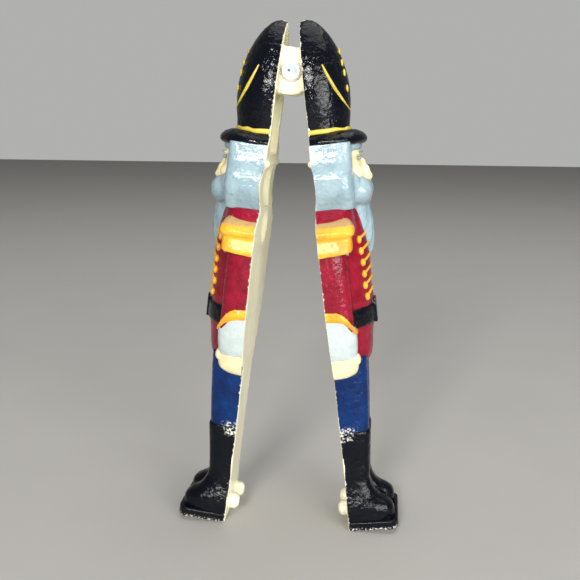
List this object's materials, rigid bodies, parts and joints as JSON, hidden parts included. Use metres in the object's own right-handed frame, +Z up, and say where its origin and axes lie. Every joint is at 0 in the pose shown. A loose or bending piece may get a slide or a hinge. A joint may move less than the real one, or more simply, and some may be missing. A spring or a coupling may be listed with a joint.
{
  "type": "nutcracker",
  "caption": "Lever nutcracker shaped as a toy soldier split lengthwise: painted cast halves hinged by a rivet inside the hat, with dished jaws at head height and flat foot plates to stand on.",
  "frame": {"origin": "on the ground, midway between the two foot plates, directly under the hinge axis", "axes": "+Z up through the hinge, +X outwards through the right lever, Y along the hinge axis (-Y is the side the rivet head shows on first)"},
  "size_m": [0.084, 0.045, 0.184],
  "materials": {
    "enamel": "gloss",
    "rivet": "satin"
  },
  "bodies": {
    "left_lever": {"left_lever": "enamel", "hinge_rivet": "rivet"},
    "right_lever": {"right_lever": "enamel"}
  },
  "joints": [
    {"name": "hinge", "type": "hinge", "parent": "left_lever", "child": "right_lever", "pos_m": [0, 0, 0.16637], "axis": [0, -1, 0], "range_deg": [-13.5, 11.5]}
  ]
}
